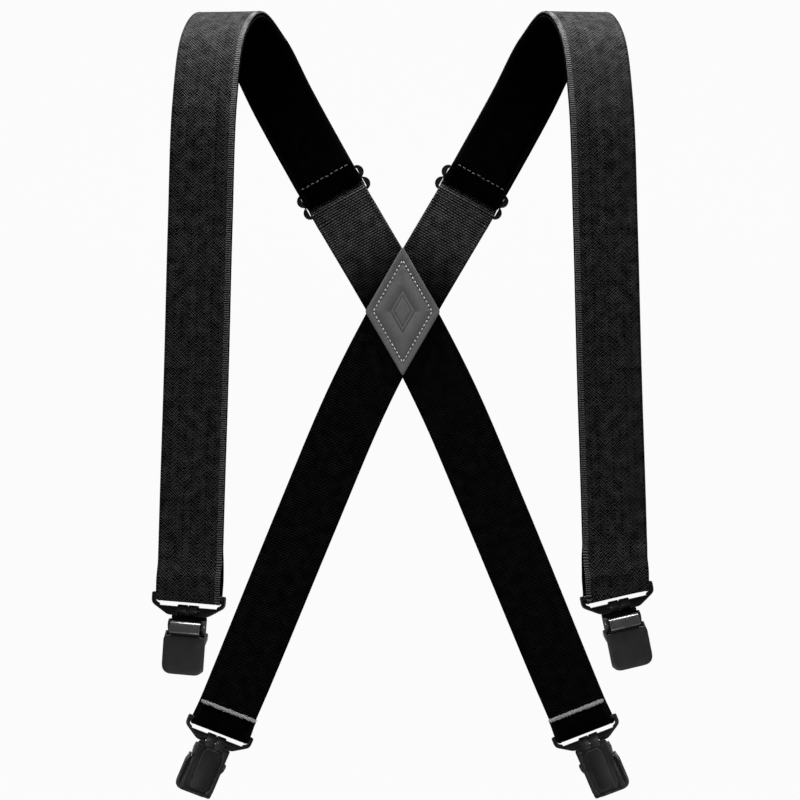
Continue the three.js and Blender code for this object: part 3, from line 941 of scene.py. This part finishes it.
def ringShape():
    bm = newShape()
    half, inner, notch, slot = ring["half"], ring["inner"], ring["notch"], ring["slot"]
    corners = [
        (notch, ring["low"]), (ring["foot"], ring["low"]), (half, 2.6), (half, ring["top"]),
        (inner, ring["top"]), (inner, 3.8), (slot, 2.6), (slot - 0.2, ring["lip"]), (notch, ring["lip"]),
    ]
    for sign in (-1, 1):
        radii = [0.3, 1.6, 2.4, 1.0, 1.0, 1.0, 0.4, 0.4, 0.3]
        outline = rounded([(u * sign, z) for u, z in corners], radii, 4)
        plate(bm, [outline], -ring["thick"], ring["thick"], 0.6, 3)
    rod(bm, ring["barRadius"], -ring["barHalf"], ring["barHalf"], 0, ring["bar"], 0.1)
    rod(bm, ring["hingeRadius"], -ring["hingeHalf"], ring["hingeHalf"], 0, 0, 0.1)
    return bm


backPlate = {
    "back": -3.0, "web": -3.6, "face": -4.5, "neck": 10.6, "half": 10.4, "bottom": -35.6, "top": -3.2,
    "panel": 5.6, "strip": 8.0, "curl": 2.7, "bore": 1.7,
}


def backPlateShape():
    bm = newShape()
    size = backPlate
    neck, half, bottom, top = size["neck"], size["half"], size["bottom"], size["top"]
    outline = rounded([(-neck, top), (neck, top), (half, bottom), (-half, bottom)], 1.6, 4)
    plate(bm, [outline], size["web"], size["back"], 0.2)
    box(bm, -9.4, 9.4, -3.5, -3.0, -5.0, -2.5, 0.15)
    web, face, panel, strip = size["web"] + 0.2, size["face"], size["panel"], size["strip"]
    centre = [(-panel, -9.4), (-panel + 2.0, -6.4), (panel - 2.0, -6.4), (panel, -9.4),
              (panel, -30.6), (panel - 1.4, -32.6), (1.4 - panel, -32.6), (-panel, -30.6)]
    plate(bm, [centre], face, web, 0.35, 3)
    for sign in (-1, 1):
        side = [(strip * sign, -11.0), ((panel + 0.9) * sign, -7.4), ((panel + 0.9) * sign, -5.6),
                ((neck - 0.3) * sign, -5.0), ((half - 0.3) * sign, -34.2), ((panel + 0.6) * sign, -34.2),
                ((panel + 0.6) * sign, -32.4), (strip * sign, -29.6)]
        plate(bm, [side], face + 0.15, web, 0.3, 3)
        ear = rounded([(-3.5, -6), (2.6, -5.5), (4, -7.5), (4, -11), (1.6, -13.5), (1.6, -17), (-3.5, -19)],
                      [0.5, 1.0, 1.2, 1.4, 0.8, 0.8, 0.5], 3)
        profileAcross(bm, ear, (half - 1.0) * sign, half * sign, 0.25)
        curl = arc(size["curl"], 200, -75, 22) + arc(size["bore"], -75, 200, 22)
        profileAcross(bm, curl, 0.5 * sign, 6.0 * sign, 0.2)
        root = [(-3.9, -5.4), (-3.9, -2.6), (-2.55, -0.6), (-1.7, -0.9), (-1.9, -2.2),
                (-3.0, -3.4), (-3.0, -5.4)]
        profileAcross(bm, root, 0.3 * sign, 6.0 * sign, 0.1)
    lip = [(-4.3, -33.6), (-4.55, -34.9), (-3.9, -35.7), (-2.1, -35.9), (-1.9, -35.1),
           (-3.2, -34.6), (-3.3, -33.6)]
    profileAcross(bm, lip, -half + 0.9, half - 0.9, 0.2)
    return bm


# the cover's dome is a run of outlines: inset from its edge and outward place
cover = {
    "half": 12.4, "top": -14.9, "bottom": -37.0,
    "dome": [(0, 3.4), (0, 4.05), (0.12, 4.22), (0.35, 4.36), (0.7, 4.45), (1.8, 4.56), (4.0, 4.68),
             (7.4, 4.76)],
}


def coverShape():
    bm = newShape()
    size = cover
    half, top, bottom = size["half"], size["top"], size["bottom"]
    loops = []
    for inset, n in size["dome"]:
        low, high = max(6 - inset, 0.8), max(3.2 - inset, 0.8)
        left, right, floor, roof = inset - half, half - inset, bottom + inset, top - inset
        corners = [(left, floor), (right, floor), (right, roof), (left, roof)]
        outline = rounded(corners, [low, low, high, high], 8)
        loops.append([local(u, n, z) for u, z in outline])
    stacked(bm, loops)
    for sign in (-1, 1):
        arm = [(-2.2, -16.4), (-2.2, -12.8), (0.9, -12.4), (3.9, -16.6), (3.9, -20), (1.6, -19.4)]
        arm = rounded(arm, 0.7, 3)
        profileAcross(bm, arm, (half - 1.2) * sign, (half - 0.2) * sign, 0.25)
        profileAcross(bm, [(2.0, -17.5), (2.0, -32.2), (2.6, -33.2), (3.8, -33.6), (3.8, -17.5)],
                      (half - 1.1) * sign, (half - 0.25) * sign, 0.25)
    box(bm, -9.0, 9.0, 2.3, 3.3, -17.6, -13.3, 0.25)
    box(bm, -9.0, 9.0, 2.3, 3.9, -17.6, -16.6, 0.2)
    return bm


def leverShape():
    bm = newShape()
    flap = [(2.2, -6.9), (3.0, -6.9), (3.8, -7.35), (4.45, -8.3), (4.9, -9.8), (5.25, -11.6), (5.4, -12.6),
            (5.3, -13.2), (4.9, -13.5), (4.45, -13.3), (4.25, -12.5), (3.9, -11.4), (3.4, -10.4), (2.2, -9.0)]
    profileAcross(bm, flap, -9, 9, 0.3, 3)
    rod(bm, 2.3, -9, 9, 1.8, -9, 0.25, 32)
    return bm


def gripShape(back, face, bottom, top):
    bm = newShape()
    depth = 0.45 if face > back else -0.45
    pitch, teeth = 1.7, []
    z = bottom + 0.8
    while z < top - 0.9:
        teeth += [(face - depth, z), (face, z + 0.35), (face, z + 0.95), (face - depth, z + 1.3)]
        z += pitch
    outline = [(back, bottom), (face - depth, bottom), *teeth, (face - depth, top), (back, top)]
    profileAcross(bm, outline, -9.4, 9.4, 0.12, 1)
    return bm


def pinShape(half, n, z):
    bm = newShape()
    rod(bm, 0.8, -half, half, n, z, 0.3, 20)
    return bm


def springShape():
    bm = newShape()
    wire, coil, half, turns, legLong = 0.3, 1.75, 3.6, 4.5, 4.2
    steps = round(turns * 20)
    centre = local(0, -0.5, -14.5)
    start = Matrix.Translation(centre + local(-half, -coil, 0))
    circle = bmesh.ops.create_circle(bm, segments=8, radius=wire, matrix=start)
    loop = list({edge for vert in circle["verts"] for edge in vert.link_edges})
    made = bmesh.ops.spin(bm, geom=circle["verts"] + loop, cent=centre, axis=(1, 0, 0),
                          dvec=(2 * half / steps, 0, 0), angle=turns * 2 * math.pi, steps=steps)["geom_last"]
    lastEdges = [item for item in made if isinstance(item, bmesh.types.BMEdge)]
    for edges in (loop, lastEdges):
        leg = bmesh.ops.extrude_edge_only(bm, edges=edges)["geom"]
        verts = [item for item in leg if isinstance(item, bmesh.types.BMVert)]
        bmesh.ops.translate(bm, verts=verts, vec=(0, 0, -legLong))
    bmesh.ops.holes_fill(bm, edges=[edge for edge in bm.edges if edge.is_boundary], sides=0)
    return bm


def clipMatrix(clip):
    swing, hinge = joints[f"{clip}_ring_swing"], joints[f"{clip}_clip_swing"]
    centre = Vector(hinge["pos_m"])
    across = Vector(swing["axis"]).normalized()
    up = (Vector(swing["pos_m"]) - centre).normalized()
    outward = up.cross(across).normalized()
    up = across.cross(outward).normalized()
    matrix = Matrix((across, outward, up)).transposed().to_4x4()
    return Matrix.Translation(centre) @ matrix


clipPieces = [
    ("Ring", ringShape, "ring", "ring_body", "ring_metal", "ring"),
    ("BackPlate", backPlateShape, "plate", "clip", "plate_metal", "back_plate"),
    ("FrontCover", coverShape, "cover", "jaw", "cover_metal", "front_cover"),
    ("Lever", leverShape, "lever", "lever_body", "lever_metal", "lever"),
    ("LeverPin", lambda: pinShape(11, 1.8, -9), "pin", "clip", "pin_metal", "lever_pin"),
    ("JawPin", lambda: pinShape(12.7, -0.5, -14.5), "pin", "clip", "pin_metal", "jaw_pin"),
    ("Spring", springShape, "spring", "clip", "spring_steel", "spring"),
    ("BackPad", lambda: gripShape(-2.9, -1.0, -34, -20), "grip", "clip", "grip", "back_pad"),
    ("FrontPad", lambda: gripShape(3.4, 1.4, -35.4, -20), "grip", "jaw", "grip", "front_pad"),
]

for side in ("right", "left"):
    for end in ("front", "back"):
        clip = f"{side}_{end}"
        matrix = clipMatrix(clip)
        for name, build, finishName, body, slot, node in clipPieces:
            pieceName = f"{side}{end.capitalize()}{name}"
            finishShape(pieceName, build(), matrix, finishName, f"{clip}_{body}", slot, f"{clip}_{node}")
print("clips made")

# adjuster slides

slide = {"length": 45.5, "half": 8.2, "bar": 1.6, "thick": 1.4, "opening": 19.6}


def slideShape():
    bm = newShape()
    half, lobe = slide["half"], slide["half"] / 2
    reach = slide["length"] / 2 - lobe
    right = arc(lobe, -90, 84, 12, reach, -lobe) + arc(lobe, -84, 90, 12, reach, lobe)
    outline = right + [(-u, -z) for u, z in right]
    tall = half - slide["bar"]
    wide = slide["opening"]
    hole = rounded([(-wide, -tall), (wide, -tall), (wide, tall), (-wide, tall)], 1.2, 4)
    plate(bm, [outline, hole], -slide["thick"] / 2, slide["thick"] / 2, 0.4, 3)
    rod(bm, slide["thick"] / 2, -wide - 0.6, wide + 0.6, 0, 0, 0.1)
    return bm


def frameMatrix(base, up, side):
    point, across, outward = base
    out = Vector(outward)
    mirror = Matrix.Diagonal((-1 if side == "left" else 1, 1, 1))
    up, out = mirror @ up.normalized(), mirror @ out
    across = (out * -1).cross(up).normalized()
    out = up.cross(across).normalized()
    matrix = Matrix((across, out, up)).transposed().to_4x4()
    return Matrix.Translation(place(point, side)) @ matrix


for side in ("right", "left"):
    parts = straps[side]
    matrix = frameMatrix(parts["slideBase"], parts["slideUp"], side)
    body, node = f"{side}_slide_body", f"{side}_slide"
    finishShape(f"{side}Slide", slideShape(), matrix, "ring", body, "ring_metal", node)
print("slides made")

# threads on the webbing: the frayed hem above each back ring and the seam above each slide

threads = {
    "hemPitch": 0.62, "hemLong": 2.3, "hemRadius": 0.34,
    "seamPitch": 3.3, "seamLong": 2.1, "seamRadius": 0.3, "seamRise": 11.2,
}


def capsule(bm, matrix, long, radius):
    stretchIt = Matrix.Diagonal((long / 2, radius, radius, 1))
    bmesh.ops.create_uvsphere(bm, u_segments=10, v_segments=8, radius=1,
                              matrix=matrix @ stretchIt @ Matrix.Rotation(math.pi / 2, 4, "Y"))


def webbingFrame(base, up, n, rise, along, side):
    point, across, outward = base
    spot = point + outward * n + up * rise + across * along
    matrix = Matrix((across, outward, up)).transposed().to_4x4()
    moved = Matrix.Translation(Vector((0, 0, -strap["rise"]))) @ Matrix.Translation(spot) @ matrix
    return Matrix.Diagonal((-1 if side == "left" else 1, 1, 1, 1)) @ moved


def hemShape(base, up, side):
    bm = newShape()
    half, pitch = strap["width"] / 2 - 0.3, threads["hemPitch"]
    rise = strap["hemReach"] - strap["loopRadius"] - strap["thick"] / 2
    for i in range(int(2 * half / pitch)):
        along = -half + pitch * (i + 0.5)
        for n, tilt in ((-2.05, 0.35), (-0.95, -0.3)):
            lean = math.pi / 2 + tilt + random.uniform(-0.3, 0.3)
            lift = rise + random.uniform(-0.25, 0.25) - (0.35 if n < -1.5 else 0.0)
            frame = webbingFrame(base, up, n + random.uniform(-0.1, 0.1), lift, along, side)
            long = threads["hemLong"] * random.uniform(0.7, 1.15)
            capsule(bm, frame @ Matrix.Rotation(lean, 4, "Y"), long, threads["hemRadius"])
        if i % 3 == 0:
            frame = webbingFrame(base, up, -1.9, rise + random.uniform(0.2, 1.0), along, side)
            capsule(bm, frame @ Matrix.Rotation(random.uniform(-0.6, 0.6), 4, "Y"), 2.6, 0.14)
    return bm


def seamShape(base, up, side):
    bm = newShape()
    half = strap["width"] / 2 - 2.5
    count = round(2 * half / threads["seamPitch"])
    for i in range(count):
        along = -half + 2 * half * (i + 0.5) / count
        n = -strap["slideLift"] - strap["layers"] - strap["thick"] / 2 - 0.05
        frame = webbingFrame(base, up, n, threads["seamRise"] + random.uniform(-0.25, 0.25), along, side)
        lean = Matrix.Rotation(random.uniform(-0.12, 0.12), 4, "Y")
        capsule(bm, frame @ lean, threads["seamLong"], threads["seamRadius"])
    return bm


random.seed(23)
for side in ("right", "left"):
    parts = straps[side]
    hem = hemShape(parts["backBase"], routeTangent(0), side)
    finishShape(f"{side}HemThreads", hem, Matrix.Identity(4), "hemThread", "root", "webbing", angle=2)
    seam = seamShape(parts["slideBase"], parts["slideUp"], side)
    body = f"{side}_slide_body"
    finishShape(f"{side}SlideSeam", seam, Matrix.Identity(4), "darkThreadAndHoleShade", body, "webbing", angle=2)
print("webbing threads made")

# crosspatch: two leather diamonds, stitched through

patch = {
    "half": 23.0, "tall": 39.5, "thick": 1.2, "gap": 2.45, "corner": 1.6,
    "stitchHalf": 18.0, "stitchTall": 31.0, "stitchPitch": 2.7, "stitchLong": 1.8, "stitchRadius": 0.42,
    # inset from the edge and height: the edge, the groove under the stitching and a double rhombus
    "section": [(0, 0), (0, 0.85), (0.2, 1.05), (0.5, 1.16), (0.9, 1.2),
                (3.7, 1.2), (3.95, 0.95), (4.7, 0.95), (4.95, 1.2),
                (12.9, 1.2), (13.15, 0.96), (13.5, 0.96), (13.75, 1.2),
                (14.9, 1.2), (15.1, 1.02), (15.3, 1.02), (15.5, 1.2), (17.5, 1.2)],
    "cuts": 6, "cutPitch": 6.0,
}


def patchShape(facing):
    bm = newShape()
    half, tall = patch["half"], patch["tall"]
    reach = half * tall / math.hypot(half, tall)
    loops = []
    for inset, rise in patch["section"]:
        share = 1 - inset / reach
        corners = [(0, -tall * share), (half * share, 0), (0, tall * share), (-half * share, 0)]
        outline = rounded(corners, max(patch["corner"] * share, 0.3), 5)
        loops.append([(x, facing * rise, z) for x, z in outline])
    stacked(bm, loops)
    for i in range(-patch["cuts"], patch["cuts"] + 1):
        everything = bm.verts[:] + bm.edges[:] + bm.faces[:]
        cutAt = (0, 0, i * patch["cutPitch"] + 0.01)
        bmesh.ops.bisect_plane(bm, geom=everything, plane_co=cutAt, plane_no=(0, 0, 1))
    for vert in bm.verts:
        vert.co = onPatch(vert.co.x, vert.co.y + facing * patch["gap"], vert.co.z)
    return bm


def onPatch(x, depth, z):
    height = z + strap["crossing"]
    return Vector((x, backDepth(height) + depth, height - strap["rise"]))


def patchStitches(facing):
    random.seed(7 if facing < 0 else 11)
    thread, holeShade = newShape(), newShape()
    half, tall = patch["stitchHalf"], patch["stitchTall"]
    corners = [Vector((0, -tall)), Vector((half, 0)), Vector((0, tall)), Vector((-half, 0))]
    for i, corner in enumerate(corners):
        after = corners[(i + 1) % 4]
        run = after - corner
        count = round(run.length / patch["stitchPitch"])
        angle = math.atan2(run.y, run.x)
        for k in range(count):
            middle = corner + run * ((k + 0.5) / count)
            tilt = angle + random.uniform(-0.05, 0.05)
            depth = facing * (patch["gap"] + patch["thick"] - 0.12)
            spot = onPatch(middle.x, depth, middle.y)
            matrix = Matrix.Translation(spot) @ Matrix.Rotation(-tilt, 4, "Y")
            capsule(thread, matrix, patch["stitchLong"], patch["stitchRadius"])
            end = corner + run * (k / count)
            # painted shade: a thin dark disc at each stitch hole stands in for the hole's shaded inside
            hole = Matrix.Translation(onPatch(end.x, facing * (patch["gap"] + patch["thick"] - 0.18), end.y))
            bmesh.ops.create_cone(holeShade, cap_ends=True, segments=10, radius1=0.55, radius2=0.55, depth=0.12,
                                  matrix=hole @ Matrix.Rotation(math.pi / 2, 4, "X"))
    return thread, holeShade


identity = Matrix.Identity(4)
for name, facing in (("inner", -1), ("outer", 1)):
    node = f"crosspatch_{name}"
    finishShape(f"{name}Patch", patchShape(facing), identity, "leather", "root", "leather", node, angle=0.9)
    thread, holeShade = patchStitches(facing)
    finishShape(f"{name}PatchStitches", thread, identity, "paleThread", "root", "leather")
    # the dark discs at the stitch holes are painted shade
    finishShape(f"{name}PatchHoleShade", holeShade, identity, "darkThreadAndHoleShade", "root", "leather", angle=2)
print("crosspatch made")
